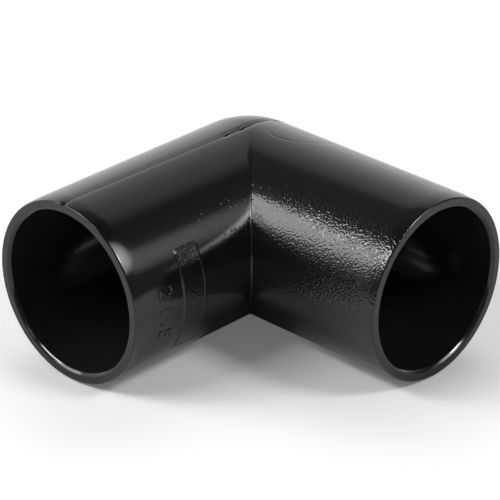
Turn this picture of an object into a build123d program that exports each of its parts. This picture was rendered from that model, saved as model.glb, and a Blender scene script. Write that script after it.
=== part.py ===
from build123d import *
import os

# Overflow bend: a knuckle bend moulded in one piece, which joins two runs of plastic overflow
# pipe at a right angle. Each arm ends in a socket. The pipe is pushed in as far as a stop and
# solvent-welded there. All lengths are millimetres.
#
# The bend lies on its side, as it rests when it is put down. One arm points along +X and the
# other along -Y. The origin is on the surface it lies on, below the middle of the whole piece.

# The pipe that the sockets take
pipe_diameter = 21.5
pipe_wall = 1.25

# The sockets: clearance on the diameter, depth from the mouth to the stop, and wall
socket_clearance = 0.2
socket_depth = 18.5
socket_wall = 1.65

# The knuckle: from the crossing of the two arms' axes to each stop
laying_length = 14.5

# The edges
mouth_lead_in = 0.4
mouth_edge_round = 0.25
stop_edge_break = 0.3
throat_round = 0.2

# A pipe's end butts against the stop, and its bore runs on into the waterway without a step
socket_radius = (pipe_diameter + socket_clearance) / 2
waterway_radius = pipe_diameter / 2 - pipe_wall
outer_radius = socket_radius + socket_wall
reach = laying_length + socket_depth

# The arms' axes cross here. Each arm has a plane at the crossing that faces out along it
half_spread = (reach - outer_radius) / 2
crossing = Vector(-half_spread, half_spread, outer_radius)
arm_x = Plane(origin=crossing, x_dir=(0, 1, 0), z_dir=(1, 0, 0))
arm_y = Plane(origin=crossing, x_dir=(1, 0, 0), z_dir=(0, -1, 0))
arms = (arm_x, arm_y)

with BuildPart() as overflow_bend:
    # Outside: two equal arms meet in a sharp throat, and a ball of their radius closes the heel
    for arm in arms:
        with BuildSketch(arm):
            Circle(outer_radius)
        extrude(amount=reach)
    with Locations(crossing):
        Sphere(outer_radius)

    # The throat's crease is where the arms cut each other, the only elliptical edge so far
    fillet(overflow_bend.edges().filter_by(GeomType.ELLIPSE), throat_round)

    # Waterway: the same knuckle inside, so the wall is even all round the heel
    for arm in arms:
        with BuildSketch(arm):
            Circle(waterway_radius)
        extrude(amount=reach, mode=Mode.SUBTRACT)
    with Locations(crossing):
        Sphere(waterway_radius, mode=Mode.SUBTRACT)

    # Sockets, open at the mouth, each with a flat stop at its bottom
    for arm in arms:
        with BuildSketch(arm.offset(reach)):
            Circle(socket_radius)
        extrude(amount=-socket_depth, mode=Mode.SUBTRACT)

        # Of the circles square to this arm, the last along it are the mouth's, and the ones
        # before them the stop's
        along = Axis(arm.origin, arm.z_dir)
        circles = overflow_bend.edges().filter_by(GeomType.CIRCLE).filter_by(arm).group_by(along)
        at_stop, at_mouth = circles[-2:]

        # The stop's inner edge is broken, so that dirt in the water doesn't catch on it, and the
        # mouth's is a lead-in for the pipe
        chamfer(at_stop.sort_by(SortBy.RADIUS)[0], stop_edge_break)
        chamfer(at_mouth.sort_by(SortBy.RADIUS)[0], mouth_lead_in)
        fillet(at_mouth.sort_by(SortBy.RADIUS)[-1], mouth_edge_round)

overflow_bend.part.label = "overflow_bend"
os.makedirs("parts", exist_ok=True)
export_step(overflow_bend.part, "parts/overflow_bend.step")
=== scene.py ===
# %% [markdown]
# # Overflow bend
# This bend joins two runs of 21.5 mm plastic overflow pipe at a right angle. It is one moulding
# in black ABS: two sockets that meet in a sharp throat on one side, and in a ball of their own
# radius on the other. The CAD model holds its size. Here it gets the surface of the real
# moulding: the line where the mould halves met, the sparked skin of one arm, the soft rims and
# the raised marks.
#
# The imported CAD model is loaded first. Everything else is made around it, in the same frame and
# in metres, so nothing has to be fitted.

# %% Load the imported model
import math

import bmesh
import bpy
import numpy as np
from mathutils import Matrix, Vector


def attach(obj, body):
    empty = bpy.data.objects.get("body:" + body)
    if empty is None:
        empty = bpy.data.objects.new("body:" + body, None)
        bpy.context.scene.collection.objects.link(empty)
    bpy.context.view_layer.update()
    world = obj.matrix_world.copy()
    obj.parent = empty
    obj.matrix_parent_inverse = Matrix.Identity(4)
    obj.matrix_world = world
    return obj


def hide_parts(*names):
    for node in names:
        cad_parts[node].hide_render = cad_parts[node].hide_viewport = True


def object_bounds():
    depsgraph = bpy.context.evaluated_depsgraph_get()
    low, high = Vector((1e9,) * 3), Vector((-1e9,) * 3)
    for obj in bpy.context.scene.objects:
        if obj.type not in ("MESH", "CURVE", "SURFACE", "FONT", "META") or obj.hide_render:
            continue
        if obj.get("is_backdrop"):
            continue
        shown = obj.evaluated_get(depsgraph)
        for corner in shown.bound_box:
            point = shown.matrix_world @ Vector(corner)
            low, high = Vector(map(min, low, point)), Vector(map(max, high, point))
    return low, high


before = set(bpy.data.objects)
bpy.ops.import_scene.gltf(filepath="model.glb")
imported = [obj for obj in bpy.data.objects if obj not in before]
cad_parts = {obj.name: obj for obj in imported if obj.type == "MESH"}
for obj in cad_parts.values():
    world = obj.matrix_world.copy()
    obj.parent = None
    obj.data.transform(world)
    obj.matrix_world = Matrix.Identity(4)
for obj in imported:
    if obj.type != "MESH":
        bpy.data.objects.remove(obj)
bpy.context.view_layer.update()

# %% [markdown]
# ## The measures
# The sizes are those of the CAD model. Shapes are worked out in millimetres from the point where
# the two arms' axes cross, because every formula is short there, and one step at the end moves
# and scales them into the frame.
#
# A place on the skin is named by its arm, by its distance from the crossing along that arm, and
# by an angle round the arm. The angle is 0 towards the throat, 90 degrees on top and 180 degrees
# towards the heel. The left arm points along -Y and the right arm along +X.

# %% Sizes of the bend, in millimetres
OUTER_RADIUS = 12.5
SOCKET_RADIUS = 10.85
WATERWAY_RADIUS = 9.5
REACH = 33.0
STOP = 14.5
EDGE_ROUND = 0.25
STOP_BREAK = 0.3
THROAT_ROUND = 0.2
THROAT_BLEND = 1.7
CREASE_BREAK = 0.08

HALF_SPREAD = (REACH - OUTER_RADIUS) / 2
CROSSING = np.array([-HALF_SPREAD, HALF_SPREAD, OUTER_RADIUS])


def to_scene(points):
    """Millimetres from the crossing become metres in the frame: add the crossing's place, then
    divide by a thousand."""
    return (np.asarray(points) + CROSSING) / 1000


# %% A grid of points made into a mesh object
MERGE_DISTANCE = 2e-7


def grid_faces(rows, columns, wrap_rows=True, wrap_columns=True):
    """The four corners of each cell of a grid whose point (row, column) has the number
    row * columns + column. A wrapped direction joins its last line to its first."""
    row = np.arange(rows if wrap_rows else rows - 1)[:, None]
    column = np.arange(columns if wrap_columns else columns - 1)[None, :]
    next_row = (row + 1) % rows
    next_column = (column + 1) % columns
    corners = (
        row * columns + column,
        row * columns + next_column,
        next_row * columns + next_column,
        next_row * columns + column,
    )
    return np.stack(np.broadcast_arrays(*corners), -1).reshape(-1, 4)


def add_piece(name, points, faces, sharp_angle=30):
    """Puts points, in millimetres from the crossing, and faces into a mesh. Points that coincide
    are merged, which closes seams and poles, and a mesh whose volume comes out negative is
    turned right side out. Shading is smooth, except over edges sharper than sharp_angle."""
    mesh = bpy.data.meshes.new(name)
    mesh.from_pydata(to_scene(points).reshape(-1, 3).tolist(), [], np.asarray(faces).tolist())
    shell = bmesh.new()
    shell.from_mesh(mesh)
    bmesh.ops.remove_doubles(shell, verts=shell.verts, dist=MERGE_DISTANCE)
    volume = shell.calc_volume(signed=True)
    if volume < 0:
        bmesh.ops.reverse_faces(shell, faces=shell.faces)
    open_edges = sum(not edge.is_manifold for edge in shell.edges)
    shell.to_mesh(mesh)
    shell.free()
    mesh.shade_smooth()
    mesh.set_sharp_from_angle(angle=math.radians(sharp_angle))
    piece = bpy.data.objects.new(name, mesh)
    bpy.context.scene.collection.objects.link(piece)
    triangles = sum(len(face.vertices) - 2 for face in mesh.polygons)
    print(f"{name}: {triangles} triangles, {abs(volume) * 1e9:.1f} mm3, {open_edges} open edges")
    return piece


# %% [markdown]
# ## The knuckle
# The form that matters most is where the arms meet. On the throat side two cylinders run into
# each other in a crease, with only a hair of a radius. Near the top and the bottom the steel was
# polished and a wider round takes over, so the crease runs out. On the heel side nothing is
# mitred: the skin rolls round a ball with the arms' own radius, and so does the waterway inside.
#
# A sphere and two cylinders could be joined with booleans, but their meshes would meet in
# slivers that break up the reflections of a glossy black part. Instead, a line is laid along
# the bend at each angle. It runs straight along one arm, turns the corner, and runs straight
# along the other arm. All the lines together are one smooth grid.

# %% Places on an arm
NEARLY_ZERO = 1e-9
TINY = 1e-6


def cosine_and_sine(angle):
    """Cosine and sine, with a cosine of nearly 0 made exactly 0, so that poles can be merged."""
    cosine = np.cos(angle)
    return np.where(np.abs(cosine) < NEARLY_ZERO, 0.0, cosine), np.sin(angle)


def on_arm(arm, angle, distance, radius):
    """Points and outward directions at a distance from the crossing along an arm, at an angle
    round it. The outward direction is (cosine, sine) of the angle, laid square to the arm."""
    cosine, sine, distance, radius = np.broadcast_arrays(*cosine_and_sine(angle), distance, radius)
    none = np.zeros_like(distance)
    if arm == "left":
        outward = np.stack([cosine, none, sine], -1)
        along = np.stack([none, -distance, none], -1)
    else:
        outward = np.stack([none, -cosine, sine], -1)
        along = np.stack([distance, none, none], -1)
    return radius[..., None] * outward + along, outward


# %% The corner that each line turns
def corner(angle, radius, ease, share):
    """Points and outward directions of the corner, for share from 0 on the left arm to 1 on the
    right arm. On the heel side it is a quarter turn about the crossing, as wide as the line is
    from the middle plane, which makes a ball. On the throat side it is an arc of a small ball of
    radius ease that touches both arms: its middle is radius plus ease from both axes, and the
    direction to its skin is swept evenly from one arm's outward direction to the other's."""
    cosine, sine, share = np.broadcast_arrays(*cosine_and_sine(angle), share)
    none = np.zeros_like(share)
    turn = share * np.pi / 2
    ball = np.stack([-np.abs(cosine) * np.cos(turn), np.abs(cosine) * np.sin(turn), sine], -1)

    sweep = np.arccos(np.clip(sine**2, 0, 1))
    whole = np.sin(sweep)
    curved = whole > TINY
    whole = np.where(curved, whole, 1)
    from_left = np.where(curved, np.sin((1 - share) * sweep) / whole, 1 - share)[..., None]
    from_right = np.where(curved, np.sin(share * sweep) / whole, share)[..., None]
    left_outward = np.stack([cosine, none, sine], -1)
    right_outward = np.stack([none, -cosine, sine], -1)
    swept = from_left * left_outward + from_right * right_outward
    ease = np.broadcast_to(ease, share.shape)[..., None]
    middle = (radius + ease) * np.stack([cosine, -cosine, sine], -1)

    throat_side = (cosine > 0)[..., None]
    points = np.where(throat_side, middle - ease * swept, radius * ball)
    return points, np.where(throat_side, swept, ball)


# %% How sharp the corner is
CREASE_FROM, CREASE_TO = 57.0, 68.0


def smooth_step(value):
    """0 below 0, 1 above 1, and 3 v^2 - 2 v^3 between."""
    value = np.clip(value, 0, 1)
    return value * value * (3 - 2 * value)


def throat_ease(angle):
    """The radius that joins the arms outside: a hair in the throat, and a wide blend near the top
    and the bottom. It goes from one to the other between two angles, in degrees."""
    from_throat = np.abs(np.degrees(angle))
    share = smooth_step((from_throat - CREASE_FROM) / (CREASE_TO - CREASE_FROM))
    return THROAT_ROUND + (THROAT_BLEND - THROAT_ROUND) * share


def start_of_arm(angle, radius, ease):
    """The distance from the crossing at which a line's straight run starts: where the small ball
    touches the arm on the throat side, and level with the crossing on the heel side."""
    return (radius + ease) * np.maximum(cosine_and_sine(angle)[0], 0)


# %% [markdown]
# ## The parting line
# A hollow moulding comes out of a steel mould that opens. Where the two halves met, a hair of
# plastic is left. On this bend the halves met in the plane of the left arm's axis, so the line
# runs along the top of the left arm, over the ball, down the heel and back underneath.
#
# The line is a real ridge here. The lines of the grid crowd together beside it and follow it,
# because a ridge a tenth of a millimetre wide would fall between evenly spaced ones. Its crest
# is level with the skin and its feet sink below it, so the part keeps its size. It stands out
# most at the top of the knuckle.

# %% Where the parting line runs
PARTING_AT_CROSSING = 0.18
PARTING_AT_MOUTH = -0.65


def parting_offset(distance):
    """How far towards the throat the parting line has strayed from the left arm's middle plane,
    in mm, at a distance from the crossing: a straight line between its two ends."""
    return np.interp(distance, (0, REACH), (PARTING_AT_CROSSING, PARTING_AT_MOUTH))


# %% The rows of the grid, each at its own angle round the bend
EVEN_STEP = 3
FINE_STEP = 1
FINE_FROM, FINE_TO = 84, 132
ROWS_BEFORE_CREASE_END, ROWS_AFTER_CREASE_END = 4, 2
CLEAR_OF_PARTING = 0.5
BESIDE_PARTING = np.array([0.05, 0.1, 0.16, 0.3, 0.55, 0.85])
FOLLOW_FULLY, FOLLOW_UP_TO = 4.5, 16.0

beside = np.degrees(BESIDE_PARTING / OUTER_RADIUS)
pole_row = 90 + np.degrees(np.arcsin(parting_offset(0) / OUTER_RADIUS))
even_rows = np.arange(0, 180 + EVEN_STEP, EVEN_STEP)
crease_rows = np.arange(
    CREASE_FROM - ROWS_BEFORE_CREASE_END, CREASE_TO + ROWS_AFTER_CREASE_END, FINE_STEP
)
plain_rows = np.concatenate([even_rows, crease_rows, np.arange(FINE_FROM, FINE_TO, FINE_STEP)])
clear = np.abs(plain_rows - 90) > beside.max() + CLEAR_OF_PARTING
half_turn = np.unique(
    np.concatenate([plain_rows[clear], 90 - beside, [90, pole_row], 90 + beside])
)
row_angles = np.concatenate([half_turn, -half_turn[-2:0:-1]])[:, None]
print(f"{len(row_angles)} rows round the bend")


def angle_at(distance):
    """The rows' angles, in radians, at a distance along the left arm. Rows near the top and the
    bottom turn with the parting line, and those further off turn less and less."""
    from_top = np.abs(np.abs(row_angles) - 90)
    follow = 1 - smooth_step((from_top - FOLLOW_FULLY) / (FOLLOW_UP_TO - FOLLOW_FULLY))
    stray = np.degrees(np.arcsin(parting_offset(distance) / OUTER_RADIUS))
    return np.radians(np.sign(row_angles) * (np.abs(row_angles) - follow * stray))


# %% [markdown]
# ## The skin's relief
# Three more things break the skin. Towards each mouth it falls away by a fifth of a millimetre,
# as mouldings do where the steel is eased, and that small slope catches the lamps. A faint round
# on the right arm, near the ball, is where a second piece of steel was let into the mould. The
# parting line has a few nicks, where the two halves didn't quite meet, and one of them notches
# the left rim.

# %% The relief as a depth below the plain shape
# Each nick has its place along the left arm, half its length, and its depth. The parting line's
# depth and the width of its feet are given at four places along the arm.
RIM_START = 30.7
RIM_DROP = 0.19
PARTING_CHANGES = (-4.0, -1.5, 4.0, 7.0)
PARTING_DEPTHS = (0.045, 0.09, 0.09, 0.045)
PARTING_FEET = (0.1, 0.17, 0.17, 0.1)
PARTING_FADE = 0.85
NICKS = ((-4.6, 0.35, 0.12), (1.8, 0.4, 0.16), (4.6, 0.45, 0.11), (32.9, 0.5, 0.28))
NICK_REACH = 0.45
ROUND_CENTRE = (5.5, 115.0)
ROUND_RADIUS = 5.75
ROUND_DEPTH = 0.03
ROUND_HALF_WIDTH = 0.28


def rim_drop(distance):
    """The fall of the skin towards a mouth, in mm: the square of the share of the way along."""
    return RIM_DROP * np.clip((distance - RIM_START) / (REACH - RIM_START), 0, 1) ** 2


def nicks(points):
    """The depth of the nicks beside the parting line. Each is a bell along the line, times a roof
    across it whose ridge lies a third of its reach towards the throat."""
    x, y, z = np.moveaxis(points, -1, 0)
    towards_throat = x - parting_offset(-y)
    across = np.clip(1 - np.abs(towards_throat - NICK_REACH / 3) / NICK_REACH, 0, 1) * (z > 0)
    depth = np.zeros_like(x)
    for place, half_length, nick_depth in NICKS:
        depth = depth + nick_depth * across * np.exp(-(((-y - place) / half_length) ** 2))
    return depth


def relief(points):
    """The depth of the skin below the plain shape, in mm, at points from the crossing."""
    x, y, z = np.moveaxis(points, -1, 0)
    depth = rim_drop(np.maximum(x, -y))

    towards_throat = x - parting_offset(-y)
    from_line = np.abs(towards_throat)
    foot_width = np.interp(-y, PARTING_CHANGES, PARTING_FEET)
    foot = np.clip(from_line / foot_width, 0, 1)
    fade = 1 - smooth_step((from_line - foot_width) / (PARTING_FADE - foot_width))
    depth = depth + np.interp(-y, PARTING_CHANGES, PARTING_DEPTHS) * foot * fade
    depth = depth + nicks(points)

    round_angle = np.radians(ROUND_CENTRE[1])
    round_place = on_arm("right", round_angle, ROUND_CENTRE[0], OUTER_RADIUS)[0]
    from_round = np.linalg.norm(points - round_place, axis=-1) - ROUND_RADIUS
    return depth + ROUND_DEPTH * (1 - smooth_step(np.abs(from_round) / ROUND_HALF_WIDTH))


# %% [markdown]
# ## One closed skin
# Each row of the grid is a closed line. It starts at the left mouth, goes along the outside to
# the right mouth, over the rim, down the socket to the stop where the pipe butts, and through
# the waterway back to the left mouth. So the whole moulding is one surface without a seam, and
# its wall has a true thickness everywhere.

# %% Where the columns of the grid lie
def spaced(*runs):
    """Distances along an arm. Each run is (start, end, step), and its end belongs to the next."""
    return np.concatenate([np.arange(start, end - TINY, step) for start, end, step in runs])


RIM_EDGE = REACH - EDGE_ROUND
AFTER_PARTING, ROUND_NEAR, ROUND_FAR = 0.55, 1.15, 12.5
BALL_RUN = 6.0
BALL_STEP, BESIDE_STEP, ROUND_STEP, ARM_STEP, RIM_STEP = 0.25, 0.3, 0.35, 1.5, 0.2
CORNER_POINTS = 21

close_by = BESIDE_PARTING[:3]
across_parting = parting_offset(0) + np.concatenate([-close_by[::-1], [0], close_by])
right_runs = spaced(
    (AFTER_PARTING, ROUND_NEAR, BESIDE_STEP),
    (ROUND_NEAR, ROUND_FAR, ROUND_STEP),
    (ROUND_FAR, RIM_START, ARM_STEP),
    (RIM_START, RIM_EDGE, RIM_STEP),
)
left_runs = spaced(
    (0, BALL_RUN, BALL_STEP), (BALL_RUN, RIM_START, ARM_STEP), (RIM_START, RIM_EDGE, RIM_STEP)
)
along_right = np.concatenate([[0], across_parting, right_runs, [RIM_EDGE]])
along_left = np.append(left_runs, RIM_EDGE)
corner_shares = np.linspace(0, 1, CORNER_POINTS)
print(f"columns: {len(along_left)} on the left arm, {len(along_right)} on the right arm")


# %% The skin and the waterway along the arms and round the corner
def outer_run(arm, distances):
    """The straight run of the skin along an arm. Distances are squeezed on the throat side, so
    that they start where the corner ends."""
    start = start_of_arm(angle_at(0), OUTER_RADIUS, throat_ease(angle_at(0)))
    distance = start + (RIM_EDGE - start) * distances / RIM_EDGE
    angle = angle_at(distance) if arm == "left" else angle_at(0)
    points, outward = on_arm(arm, angle, distance, OUTER_RADIUS)
    return points - relief(points)[..., None] * outward


def outer_corner():
    """The skin round the corner, between the two straight runs."""
    ease = throat_ease(angle_at(0))
    points, outward = corner(angle_at(0), OUTER_RADIUS, ease, corner_shares[1:-1])
    return points - relief(points)[..., None] * outward


def inner_run(arm, distances):
    """The straight run of the waterway along an arm, from the corner to the stop's broken edge."""
    end = STOP - STOP_BREAK
    start = start_of_arm(angle_at(0), WATERWAY_RADIUS, CREASE_BREAK)
    distance = start + (end - start) * distances
    angle = angle_at(distance) if arm == "left" else angle_at(0)
    return on_arm(arm, angle, distance, WATERWAY_RADIUS)[0]


# %% The rim, the socket and the stop
# A pipe finds its way in over a lead-in: a round, a flat at about 45 degrees, and a round. It is
# written as short steps, each with its turn from the arm's direction and its length.
LEAD_IN_TURNS = np.radians([82, 74, 66, 58, 52, 46, 38, 28, 18, 8])
LEAD_IN_STEPS = np.array([0.05, 0.05, 0.05, 0.05, 0.05, 0.3, 0.045, 0.045, 0.045, 0.045])
BESIDE_EDGE = 0.03
EDGE_TURNS = np.radians(np.arange(15, 91, 15))


def socket_profile():
    """Distance along the arm and radius of the rim, the socket and the stop: a quarter round at
    the outer edge, the flat rim, the lead-in, the socket's wall, and the stop's flat face with
    its broken edge. A second point close beside an edge keeps the shading of its flat flat."""
    edge = OUTER_RADIUS - rim_drop(RIM_EDGE)
    round_distance = RIM_EDGE + EDGE_ROUND * np.sin(EDGE_TURNS)
    round_radius = edge - EDGE_ROUND * (1 - np.cos(EDGE_TURNS))
    rounded = np.stack([round_distance, round_radius], -1)
    inwards = np.append(0, np.cumsum(LEAD_IN_STEPS * np.sin(LEAD_IN_TURNS)))
    down = np.append(0, np.cumsum(LEAD_IN_STEPS * np.cos(LEAD_IN_TURNS)))
    lead_in = np.stack([REACH - down, SOCKET_RADIUS + inwards[-1] - inwards], -1)
    flat = [
        (REACH, edge - EDGE_ROUND - BESIDE_EDGE),
        (REACH, SOCKET_RADIUS + inwards[-1] + BESIDE_EDGE),
    ]
    inside = [
        (REACH - down[-1] - BESIDE_EDGE, SOCKET_RADIUS),
        ((REACH + STOP) / 2, SOCKET_RADIUS),
        (STOP + BESIDE_EDGE, SOCKET_RADIUS),
        (STOP, SOCKET_RADIUS),
        (STOP, SOCKET_RADIUS - BESIDE_EDGE),
        (STOP, WATERWAY_RADIUS + STOP_BREAK + BESIDE_EDGE),
        (STOP, WATERWAY_RADIUS + STOP_BREAK),
        (STOP - STOP_BREAK, WATERWAY_RADIUS),
    ]
    return np.concatenate([rounded, np.array(flat), lead_in, np.array(inside)])


def socket(arm):
    """The rim, the socket and the stop of an arm, from the outside inwards. A nick that reaches
    the mouth cuts into the rim and dies out across it."""
    distance, radius = socket_profile().T
    angle = angle_at(distance[None, :]) if arm == "left" else angle_at(0)
    points, outward = on_arm(arm, angle, distance[None, :], radius[None, :])
    near_edge = smooth_step((radius - SOCKET_RADIUS) / (OUTER_RADIUS - SOCKET_RADIUS))
    return points - (near_edge * nicks(points))[..., None] * outward


# %% The skin as one piece, with its strips in the order in which a row meets them
inner_shares = np.array([0, 0.02, 0.2, 0.4, 0.6, 0.8, 0.98])
inner_corner = corner(angle_at(0), WATERWAY_RADIUS, CREASE_BREAK, corner_shares[1:-1])[0]
strips = [
    outer_run("left", along_left[None, ::-1]),
    outer_corner(),
    outer_run("right", along_right[None, :]),
    socket("right"),
    inner_run("right", inner_shares[None, ::-1]),
    inner_corner[:, ::-1],
    inner_run("left", inner_shares[None, :]),
    socket("left")[:, ::-1],
]
skin_points = np.concatenate(strips, axis=1)
bend = add_piece("bend_moulding", skin_points, grid_faces(*skin_points.shape[:2]))

# %% [markdown]
# ## The raised marks
# A maker cuts marks into the mould, so on the part they stand up from the skin. This one has a
# bare panel, a plate a hair proud of the skin with a thin raised outline. Nearer the mouth stands
# the size of pipe that it takes, in plain figures that read down the arm. Each is its own piece,
# laid on the round of the arm: a flat drawing gives the distance along the arm and the length
# round it.

# %% A drawing laid on the left arm
def on_left_skin(distance, round_length, height):
    """A point over the left arm's skin: the angle is the length round the arm divided by the
    radius, and the height is added to the radius."""
    radius = OUTER_RADIUS - rim_drop(distance) + height
    return on_arm("left", round_length / OUTER_RADIUS, distance, radius)[0]


# %% The panel's outline: a fine bead along a rectangle with rounded corners
PANEL_MIDDLE = (22.75, np.radians(-1.5) * OUTER_RADIUS)
PANEL_HALF = (2.2, np.radians(35) * OUTER_RADIUS)
PANEL_CORNER = 0.5
PANEL_RISE = 0.06
BEAD_WIDTH = 0.22
BEAD_HEIGHT = 0.06
BEAD_INSET = 0.42
BEAD_STEP = 0.2
QUARTER_TURN = np.linspace(0.5, 89.5, 9)


def rounded_rectangle(half_width, half_height, radius, step):
    """Points at even steps along a rectangle with rounded corners. Each quarter of a circle is
    moved out to its own corner, and the sides are what joins them."""
    turn = np.radians((np.arange(4)[:, None] * 90 + QUARTER_TURN[None, :]).ravel())
    across = np.sign(np.cos(turn)) * (half_width - radius) + radius * np.cos(turn)
    up = np.sign(np.sin(turn)) * (half_height - radius) + radius * np.sin(turn)
    across, up = np.append(across, across[0]), np.append(up, up[0])
    travelled = np.append(0, np.cumsum(np.hypot(np.diff(across), np.diff(up))))
    places = np.linspace(0, travelled[-1], int(travelled[-1] / step), endpoint=False)
    return np.interp(places, travelled, across), np.interp(places, travelled, up)


def bead(across, up, width, height, around=12):
    """An oval section carried along a closed flat line: at each point the section's width lies
    square to the line, and its height stands up from the drawing."""
    forward = np.stack([np.roll(across, -1) - np.roll(across, 1), np.roll(up, -1) - np.roll(up, 1)])
    forward = forward / np.linalg.norm(forward, axis=0)
    turn = np.arange(around) * 2 * np.pi / around
    side = width / 2 * np.cos(turn)
    return (
        across[:, None] - forward[1][:, None] * side,
        up[:, None] + forward[0][:, None] * side,
        np.broadcast_to(height * np.sin(turn), (len(across), around)),
    )


bead_half = [half - BEAD_INSET for half in PANEL_HALF]
outline = rounded_rectangle(*bead_half, PANEL_CORNER, BEAD_STEP)
distance, round_length, height = bead(
    PANEL_MIDDLE[0] + outline[0], PANEL_MIDDLE[1] + outline[1], BEAD_WIDTH, BEAD_HEIGHT
)
outline_points = on_left_skin(distance, round_length, PANEL_RISE + height)
outline_piece = add_piece("panel_outline", outline_points, grid_faces(*outline_points.shape[:2]))


# %% The bare panel: a plate a hair proud of the skin, with eased edges
PANEL_ROOT = 0.04
PANEL_UNDER = 0.12
PANEL_EDGE = 0.3
EDGE_PLACES = np.array([0, 0.06, 0.12, 0.18, 0.24, PANEL_EDGE, 0.45])
PLATE_STEPS = (0.4, 0.3)


def across_plate(half, step):
    """Places across the plate: close together over its eased edges, and evenly spaced between."""
    middle = np.linspace(EDGE_PLACES[-1] - half, half - EDGE_PLACES[-1], int(2 * half / step))
    edge = EDGE_PLACES[:-1] - half
    return np.concatenate([edge, middle, -edge[::-1]])


def inside_rectangle(across, up, half_width, half_height, radius):
    """How far a place is inside the edge of a rounded rectangle: the distance from the sides,
    and in the corners from the quarter circle."""
    out_across = np.abs(across) - half_width + radius
    out_up = np.abs(up) - half_height + radius
    corner_distance = np.hypot(np.maximum(out_across, 0), np.maximum(out_up, 0))
    return radius - corner_distance - np.minimum(np.maximum(out_across, out_up), 0)


plate_lines = [across_plate(half, step) for half, step in zip(PANEL_HALF, PLATE_STEPS)]
plate_across, plate_up = np.meshgrid(*plate_lines, indexing="ij")
inside_round = inside_rectangle(plate_across, plate_up, *PANEL_HALF, PANEL_CORNER)
inside_square = inside_rectangle(plate_across, plate_up, *PANEL_HALF, 0)
top = smooth_step(inside_round / PANEL_EDGE) * (PANEL_RISE + PANEL_ROOT) - PANEL_ROOT
under = smooth_step(inside_square / PANEL_EDGE) * (PANEL_ROOT - PANEL_UNDER) - PANEL_ROOT
plate_distance, plate_round = PANEL_MIDDLE[0] + plate_across, PANEL_MIDDLE[1] + plate_up
plate_points = np.concatenate(
    [on_left_skin(plate_distance, plate_round, level) for level in (top, under)]
)
one_side = grid_faces(*plate_across.shape, wrap_rows=False, wrap_columns=False)
plate_faces = np.concatenate([one_side, one_side[:, ::-1] + plate_across.size])
panel = add_piece("bare_panel", plate_points, plate_faces)

# %% The size in plain figures
FIGURES = "21.5"
FIGURE_HEIGHT = 2.3
FIGURES_LENGTH = 7.6
FIGURES_MIDDLE = (REACH - 5.35, np.radians(-2) * OUTER_RADIUS)
FIGURE_RISE = 0.13
DRAWN_DEPTH = 0.02
DRAWN_BEVEL = 0.035
DRAWN_THINNER = 0.02
DRAWN_SPACING = 1.2

drawing = bpy.data.curves.new("figures_drawing", "FONT")
drawing.body = FIGURES
drawing.resolution_u = 4
drawing.extrude = DRAWN_DEPTH
drawing.bevel_depth = DRAWN_BEVEL
drawing.bevel_resolution = 2
drawing.offset = -DRAWN_THINNER
drawing.space_character = DRAWN_SPACING
holder = bpy.data.objects.new("figures_drawing", drawing)
bpy.context.scene.collection.objects.link(holder)
flat = bpy.data.meshes.new_from_object(holder.evaluated_get(bpy.context.evaluated_depsgraph_get()))
bpy.data.objects.remove(holder)

letters = np.zeros(len(flat.vertices) * 3)
flat.vertices.foreach_get("co", letters)
letters = letters.reshape(-1, 3)
low, high = letters.min(axis=0), letters.max(axis=0)
reading, rising, raised = ((letters - (low + high) / 2) / (high - low)).T
figure_points = on_left_skin(
    FIGURES_MIDDLE[0] - FIGURE_HEIGHT * rising,
    FIGURES_MIDDLE[1] - FIGURES_LENGTH * reading,
    2 * FIGURE_RISE * raised,
)
figure_faces = [list(face.vertices) for face in flat.polygons]
mesh = bpy.data.meshes.new("size_figures")
mesh.from_pydata(to_scene(figure_points).tolist(), [], figure_faces)
shell = bmesh.new()
shell.from_mesh(mesh)
bmesh.ops.remove_doubles(shell, verts=shell.verts, dist=MERGE_DISTANCE)
bmesh.ops.recalc_face_normals(shell, faces=shell.faces)
open_edges = sum(not edge.is_manifold for edge in shell.edges)
print(f"size_figures: {len(figure_faces)} faces, {open_edges} open edges")
shell.to_mesh(mesh)
shell.free()
figures = bpy.data.objects.new("size_figures", mesh)
bpy.context.scene.collection.objects.link(figures)

# %% [markdown]
# ## The plastic
# Overflow fittings are moulded in ABS coloured with carbon black. Light hardly enters it, so
# what the eye sees is the skin: a clear, slightly soft reflection of whatever is around. The
# steel of the mould decides how sharp it is. The half that made the left arm was polished. The
# half that made the right arm was sparked, and the skin from it has the grain of fine orange
# peel, which grows towards the mouth. A trace of it strays over the crease, and the panel's
# ground has it too.
#
# Beside the crease the steel is hard to reach. The few pits that were left in it stand on the
# plastic as pimples. The cores that made the bores were polished less than the rest, so the
# bores are a little duller. Their black is also painted paler: painted light that stands in for
# the light that reaches inside the bores.

# %% Where the peel, the pimples and the bores are, kept as attributes of the skin
PEEL_FROM, PEEL_TO = 8.5, 22.0
PEEL_LEAST = 0.13
PEEL_STRAYS = (11.0, 20.0)
PANEL_PEEL = 0.6
PIMPLE_REACH = (16.0, 25.0)
PIMPLES_ON_LEFT = 0.65
PEEL_FADES = (52.0, 74.0)
BORE_TOLERANCE = 0.02
MID_WALL = (OUTER_RADIUS + SOCKET_RADIUS) / 2


def from_centre_line(points):
    """The distance from the nearest point of the two axes: across the arm that a point is on, or
    from the crossing on the heel side."""
    x, y, z = np.moveaxis(points, -1, 0)
    from_left_arm = np.hypot(np.hypot(x, z), np.maximum(y, 0))
    from_right_arm = np.hypot(np.hypot(y, z), np.maximum(-x, 0))
    return np.minimum(from_left_arm, from_right_arm)


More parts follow.
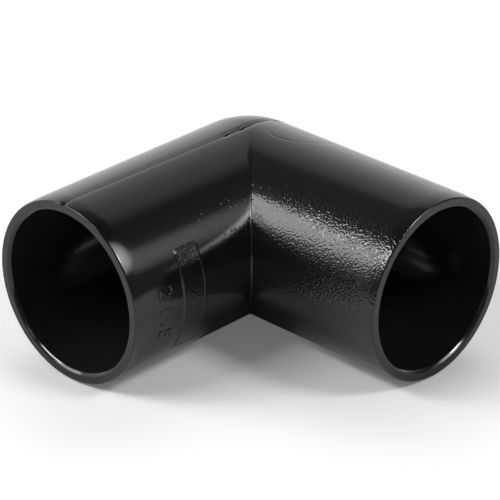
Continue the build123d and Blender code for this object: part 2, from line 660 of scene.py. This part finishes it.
def peel_strength(points):
    """0 to 1: grows along the right arm from where it leaves the throat to its mouth, is full on
    the throat side, and fades out towards the top. A trace of it strays on to the left arm beside
    the crease. The bores have none."""
    x, y, z = np.moveaxis(points, -1, 0)
    angle = np.degrees(np.arctan2(z, np.minimum(x, -y)))
    growing = smooth_step((x - PEEL_FROM) / (PEEL_TO - PEEL_FROM))
    straying = 1 - smooth_step((-y - PEEL_STRAYS[0]) / (PEEL_STRAYS[1] - PEEL_STRAYS[0]))
    along = np.where(x > -y, PEEL_LEAST + (1 - PEEL_LEAST) * growing, PEEL_LEAST * straying)
    on_side = 1 - smooth_step((np.abs(angle) - PEEL_FADES[0]) / (PEEL_FADES[1] - PEEL_FADES[0]))
    outside = np.minimum(np.hypot(x, z), np.hypot(y, z)) > MID_WALL
    return np.where(outside, along * on_side, 0)


def pimple_strength(points):
    """0 to 1: full on the throat side of the right arm near the crease, weaker on the left arm,
    and gone further out."""
    x, y, z = np.moveaxis(points, -1, 0)
    outside = np.minimum(np.hypot(x, z), np.hypot(y, z)) > MID_WALL
    near = 1 - smooth_step(
        (np.maximum(x, -y) - PIMPLE_REACH[0]) / (PIMPLE_REACH[1] - PIMPLE_REACH[0])
    )
    angle = np.degrees(np.arctan2(np.abs(z), np.minimum(x, -y)))
    on_side = 1 - smooth_step((angle - PEEL_FADES[0]) / (PEEL_FADES[1] - PEEL_FADES[0]))
    on_arm_share = np.where(x > -y, 1, PIMPLES_ON_LEFT)
    return np.where(outside & (x > 0) & (y < 0), near * on_side * on_arm_share, 0)


skin = np.zeros(len(bend.data.vertices) * 3)
bend.data.vertices.foreach_get("co", skin)
skin = skin.reshape(-1, 3) * 1000 - CROSSING
# The bore mask gives the bores their duller roughness and their painted paler black, which is painted
# light.
in_bore = (from_centre_line(skin) < SOCKET_RADIUS + BORE_TOLERANCE).astype(float)
for name, strength in (
    ("peel", peel_strength(skin)), ("pimples", pimple_strength(skin)), ("bore", in_bore)
):
    bend.data.attributes.new(name, "FLOAT", "POINT").data.foreach_set("value", strength)
    print(f"{name} on {100 * np.mean(strength > 0):.0f}% of the skin's points")
on_panel = np.full(len(panel.data.vertices), PANEL_PEEL)
panel.data.attributes.new("peel", "FLOAT", "POINT").data.foreach_set("value", on_panel)


# %% Colours and nodes
def linear(hex_colour):
    """An sRGB hex colour as linear red, green, blue and alpha."""
    values = [int(hex_colour[index : index + 2], 16) / 255 for index in (1, 3, 5)]
    return [v / 12.92 if v <= 0.04045 else ((v + 0.055) / 1.055) ** 2.4 for v in values] + [1.0]


def add_node(tree, kind, inputs=None, **settings):
    """Adds a node to a tree. settings are its properties. inputs names its sockets, each with a
    value, or with another node's output, which is linked to it."""
    node = tree.nodes.new(kind)
    for name, value in settings.items():
        setattr(node, name, value)
    for name, value in (inputs or {}).items():
        if isinstance(value, bpy.types.NodeSocket):
            tree.links.new(value, node.inputs[name])
        else:
            node.inputs[name].default_value = value
    return node


def new_tree(data):
    """Switches a material's or the world's nodes on and empties them."""
    data.use_nodes = True
    data.node_tree.nodes.clear()
    return data.node_tree


# %% Black ABS, injection moulded
# Carbon black takes nearly all the light that enters, so the colour is close to black. To the eye
# it is all gloss: deep black where the studio is dark, and pale where it mirrors a lamp. The peel
# breaks a mirrored lamp into pebbles. Its grain is a quarter of a millimetre, which is two pixels
# here and the finest that shows. A pimple is 0.4 mm wide. The lengths below are in metres.
ROUGHNESS = 0.12
BORE_ROUGHNESS = 0.15
PEEL_DULLS = 0.035
PEEL_GRAIN = 0.00026
PEEL_HEIGHT = 0.000046
PIMPLE_SPACING = 0.0007
PIMPLE_RADIUS = 0.0002
PIMPLE_HEIGHT = 0.000022
PIMPLE_SHARE = 0.65
ABS_BLACK = "#111112"
# Painted light: the bores' black is painted paler, to stand in for the light that reaches inside
# them.
BORE_BLACK_PAINTED_PALER = "#202021"
ABS_IOR = 1.5

abs_black = bpy.data.materials.new("black_ABS_injection_moulded")
tree = new_tree(abs_black)
place = add_node(tree, "ShaderNodeTexCoord").outputs["Object"]
growth = add_node(tree, "ShaderNodeAttribute", attribute_name="peel").outputs["Fac"]
grain = add_node(
    tree,
    "ShaderNodeTexNoise",
    {"Vector": place, "Scale": 1 / PEEL_GRAIN, "Detail": 0.0},
).outputs["Fac"]
peel = add_node(
    tree,
    "ShaderNodeBump",
    {"Strength": growth, "Distance": PEEL_HEIGHT, "Height": grain},
).outputs["Normal"]

cells = add_node(tree, "ShaderNodeTexVoronoi", {"Vector": place, "Scale": 1 / PIMPLE_SPACING}).outputs
dome = add_node(
    tree,
    "ShaderNodeMapRange",
    {
        "Value": cells["Distance"],
        "From Min": 0.0,
        "From Max": PIMPLE_RADIUS / PIMPLE_SPACING,
        "To Min": 1.0,
        "To Max": 0.0,
    },
    interpolation_type="SMOOTHSTEP",
).outputs["Result"]
chance = add_node(tree, "ShaderNodeSeparateColor", {"Color": cells["Color"]}).outputs["Red"]
kept = add_node(
    tree, "ShaderNodeMath", {0: chance, 1: 1 - PIMPLE_SHARE}, operation="GREATER_THAN"
).outputs[0]
pimples = add_node(tree, "ShaderNodeMath", {0: dome, 1: kept}, operation="MULTIPLY").outputs[0]
where = add_node(tree, "ShaderNodeAttribute", attribute_name="pimples").outputs["Fac"]
pimpled = add_node(
    tree,
    "ShaderNodeBump",
    {"Strength": where, "Distance": PIMPLE_HEIGHT, "Height": pimples, "Normal": peel},
).outputs["Normal"]
in_bore = add_node(tree, "ShaderNodeAttribute", attribute_name="bore").outputs["Fac"]
# Painted light: the colour turns to the paler black inside the bores.
colour = add_node(
    tree,
    "ShaderNodeMix",
    {"Factor": in_bore, "A": linear(ABS_BLACK), "B": linear(BORE_BLACK_PAINTED_PALER)},
    data_type="RGBA",
).outputs["Result"]
polished = add_node(
    tree, "ShaderNodeMapRange", {"Value": in_bore, "To Min": ROUGHNESS, "To Max": BORE_ROUGHNESS}
).outputs["Result"]
roughness = add_node(
    tree, "ShaderNodeMath", {0: growth, 1: PEEL_DULLS, 2: polished}, operation="MULTIPLY_ADD"
).outputs[0]
plastic = add_node(
    tree,
    "ShaderNodeBsdfPrincipled",
    {"Base Color": colour, "Roughness": roughness, "IOR": ABS_IOR, "Normal": pimpled},
)
add_node(tree, "ShaderNodeOutputMaterial", {"Surface": plastic.outputs["BSDF"]})
print(f"black ABS: grain {1000 * PEEL_GRAIN:.2f} mm, pimples {2000 * PIMPLE_RADIUS:.1f} mm wide")

for piece in (bend, outline_piece, panel, figures):
    piece.data.materials.append(abs_black)
    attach(piece, "root")
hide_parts("overflow_bend")

# %% [markdown]
# ## The table, the light and the camera
# A black glossy part is lit by what it reflects. The bend lies on a disc of white card, and the
# world round it is the studio: a pale sweep behind and to the left that grows darker upwards, a
# dim room on the other side, and four soft glows. The sweep lies in the tops of the arms. One
# glow is the broad band along the left arm. A strong one shows where that arm's skin falls away
# to its mouth, and two weak ones touch the left rim and the right bore.
#
# Three lamps are mirrored as well. A softbox in front to the left is the broad light along the
# right arm, and a strip above it carries that light to its edges. A small box to the right is
# the streak beside the crease. A fourth lamp isn't seen in the gloss and lights the card behind
# the bend. The camera sees plain white behind everything. For the camera alone the card is
# lifted a little, so that it is nearly white too and still keeps the shadow.

# %% White card
# Matt card sends light evenly to all sides, so it shows nothing but the soft shadow.
CARD_WHITE = "#FCFCFC"
CARD_RADIUS = 0.45
CARD_STEP = 3
CARD_LIFT = 0.12
turn = np.radians(np.arange(0, 360, CARD_STEP))
floor_points = np.stack([np.cos(turn), np.sin(turn), np.zeros_like(turn)], -1) * CARD_RADIUS
floor_mesh = bpy.data.meshes.new("card")
floor_mesh.from_pydata(floor_points.tolist(), [], [list(range(len(turn)))])
card = bpy.data.objects.new("card", floor_mesh)
bpy.context.scene.collection.objects.link(card)
card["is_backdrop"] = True

card_white = bpy.data.materials.new("white_card_matt")
tree = new_tree(card_white)
matt = add_node(tree, "ShaderNodeBsdfDiffuse", {"Color": linear(CARD_WHITE)})
to_camera = add_node(tree, "ShaderNodeLightPath").outputs["Is Camera Ray"]
lift = add_node(tree, "ShaderNodeMath", {0: to_camera, 1: CARD_LIFT}, operation="MULTIPLY").outputs[0]
lifted = add_node(tree, "ShaderNodeEmission", {"Color": (1, 1, 1, 1), "Strength": lift})
both = add_node(
    tree, "ShaderNodeAddShader", {0: matt.outputs["BSDF"], 1: lifted.outputs["Emission"]}
).outputs[0]
add_node(tree, "ShaderNodeOutputMaterial", {"Surface": both})
card.data.materials.append(card_white)
print(f"card: a disc {2 * CARD_RADIUS} m across")

# %% The studio, as the world
# Azimuths are counted from +X towards +Y. A level of the sweep is the share of white at a height,
# the sine of the elevation. A glow has its azimuth, elevation, half angle and radiance.
STUDIO_WHITE = 1.14
STUDIO_DIM = 0.18
SWEEP_AZIMUTH = 150
SWEEP_EDGE = (0.22, 0.42)
SWEEP_TILT_AZIMUTH = 215
SWEEP_TILT = 0.12
SWEEP_LEVELS = (
    (0.0, 1.0),
    (0.3, 0.96),
    (0.45, 0.86),
    (0.6, 0.7),
    (0.7, 0.53),
    (0.77, 0.42),
    (0.8, 0.13),
    (1.0, 0.12),
)
FILL = 0.11
GLOWS = (
    (42, 28, 12.5, 1.35),
    (24, 44, 20, 8.0),
    (283, 30, 8, 2.0),
    (231, 13, 9, 1.0),
)


def heading(azimuth, elevation):
    """The direction at an azimuth, counted from +X towards +Y, and an elevation, in degrees."""
    turn, rise = math.radians(azimuth), math.radians(elevation)
    return Vector((math.cos(turn) * math.cos(rise), math.sin(turn) * math.cos(rise), math.sin(rise)))


world = bpy.data.worlds.new("studio")
bpy.context.scene.world = world
tree = new_tree(world)
direction = add_node(tree, "ShaderNodeTexCoord").outputs["Object"]

tilted_up = Vector((0, 0, 1)) + SWEEP_TILT * heading(SWEEP_TILT_AZIMUTH, 0)
height = add_node(
    tree, "ShaderNodeVectorMath", {0: direction, 1: tilted_up}, operation="DOT_PRODUCT"
).outputs["Value"]
sweep = add_node(tree, "ShaderNodeValToRGB", {"Fac": height})
while len(sweep.color_ramp.elements) < len(SWEEP_LEVELS):
    sweep.color_ramp.elements.new(0.5)
for element, (place_up, level) in zip(sweep.color_ramp.elements, SWEEP_LEVELS):
    element.position = place_up
    element.color = (level, level, level, 1)
towards_sweep = add_node(
    tree,
    "ShaderNodeVectorMath",
    {0: direction, 1: heading(SWEEP_AZIMUTH, 0)},
    operation="DOT_PRODUCT",
).outputs["Value"]
side = add_node(
    tree,
    "ShaderNodeMapRange",
    {
        "Value": towards_sweep,
        "From Min": SWEEP_EDGE[0],
        "From Max": SWEEP_EDGE[1],
        "To Min": STUDIO_DIM,
        "To Max": STUDIO_WHITE,
    },
).outputs["Result"]
seen = add_node(
    tree, "ShaderNodeBackground", {"Color": sweep.outputs["Color"], "Strength": side}
).outputs[0]

for azimuth, elevation, half_angle, radiance in GLOWS:
    towards_glow = add_node(
        tree,
        "ShaderNodeVectorMath",
        {0: direction, 1: heading(azimuth, elevation)},
        operation="DOT_PRODUCT",
    ).outputs["Value"]
    glow = add_node(
        tree,
        "ShaderNodeMapRange",
        {
            "Value": towards_glow,
            "From Min": math.cos(math.radians(half_angle)),
            "From Max": 1.0,
            "To Min": 0.0,
            "To Max": radiance,
        },
    ).outputs["Result"]
    light = add_node(
        tree, "ShaderNodeBackground", {"Color": (1, 1, 1, 1), "Strength": glow}
    ).outputs[0]
    seen = add_node(tree, "ShaderNodeAddShader", {0: seen, 1: light}).outputs[0]

fill = add_node(tree, "ShaderNodeBackground", {"Color": (1, 1, 1, 1), "Strength": FILL}).outputs[0]
white = add_node(tree, "ShaderNodeBackground", {"Color": (1, 1, 1, 1), "Strength": 1.0}).outputs[0]
ray = add_node(tree, "ShaderNodeLightPath").outputs
mirrored = add_node(
    tree,
    "ShaderNodeMath",
    {0: ray["Is Glossy Ray"], 1: ray["Is Transmission Ray"]},
    operation="MAXIMUM",
).outputs[0]
lit = add_node(tree, "ShaderNodeMixShader", {0: mirrored, 1: fill, 2: seen}).outputs[0]
sky = add_node(tree, "ShaderNodeMixShader", {0: ray["Is Camera Ray"], 1: lit, 2: white}).outputs[0]
add_node(tree, "ShaderNodeOutputWorld", {"Surface": sky})
print(f"studio: a sweep of {len(SWEEP_LEVELS)} levels and {len(GLOWS)} glows")


# %% Softboxes
def softbox(name, azimuth, elevation, width, height, radiance, distance=1.0, spin=0.0):
    """A rectangular lamp that faces the bend from a distance in metres, turned by spin degrees in
    its own plane. Its power is its radiance times pi times its area."""
    away = heading(azimuth, elevation)
    lamp = bpy.data.lights.new(name, "AREA")
    lamp.shape = "RECTANGLE"
    lamp.size = width
    lamp.size_y = height
    lamp.energy = radiance * math.pi * width * height
    holder = bpy.data.objects.new(name, lamp)
    holder.location = away * distance + Vector((0, 0, OUTER_RADIUS / 1000))
    facing = away.to_track_quat("Z", "Y").to_matrix() @ Matrix.Rotation(math.radians(spin), 3, "Z")
    holder.rotation_euler = facing.to_euler()
    holder.visible_camera = False
    bpy.context.scene.collection.objects.link(holder)
    print(f"{name}: {lamp.energy:.1f} W")
    return holder


softbox("softbox_front_left", 224, 30.7, 0.53, 0.38, 5.8, spin=32)
softbox("strip_front_left", 250, 45, 0.5, 0.1, 24.0, distance=1.02)
softbox("softbox_right", 15, 45.5, 0.25, 0.17, 25.0)
backdrop_lamp = softbox("softbox_over_backdrop", 130, 50, 0.5, 0.35, 1.6, distance=0.5)
backdrop_lamp.visible_glossy = False

# %% The camera, as the photograph was taken
# Its place was fitted to the outlines and rims in the photograph. Lengths are in millimetres, and
# the camera is turned and stepped from a straight look at the crossing of the axes.
AZIMUTH = 43.648
ELEVATION = 27.139
ROLL = 0.177
DISTANCE = 407.588
SIDESTEP = 0.18
STEP_UP = -5.375
FOCAL_PIXELS = 3070.719
FRAME_PIXELS = 500
SENSOR = 36.0

turn, rise, roll = (math.radians(value) for value in (AZIMUTH, ELEVATION, ROLL))
back = Vector((math.sin(turn) * math.cos(rise), -math.cos(turn) * math.cos(rise), math.sin(rise)))
level = Vector((math.cos(turn), math.sin(turn), 0))
upright = back.cross(level)
right = math.cos(roll) * level + math.sin(roll) * upright
up = math.cos(roll) * upright - math.sin(roll) * level
eye = (Vector(CROSSING) + SIDESTEP * right + STEP_UP * up + DISTANCE * back) / 1000

lens = bpy.data.cameras.new("photo_camera")
lens.sensor_fit = "HORIZONTAL"
lens.sensor_width = SENSOR
lens.lens = SENSOR * FOCAL_PIXELS / FRAME_PIXELS
lens.clip_start = 0.01
camera = bpy.data.objects.new("photo_camera", lens)
camera.matrix_world = Matrix.Translation(eye) @ Matrix((right, up, back)).transposed().to_4x4()
bpy.context.scene.collection.objects.link(camera)
bpy.context.scene.camera = camera
bpy.context.scene.view_settings.view_transform = "Standard"
print(f"lens {lens.lens:.2f} mm, camera {eye.length:.4f} m from the origin")

# %% Measure the size of what is drawn
visual_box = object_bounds()
visual_mm = [[round(1000 * value, 3) for value in corner_point] for corner_point in visual_box]
print("visual box in mm:", visual_mm)
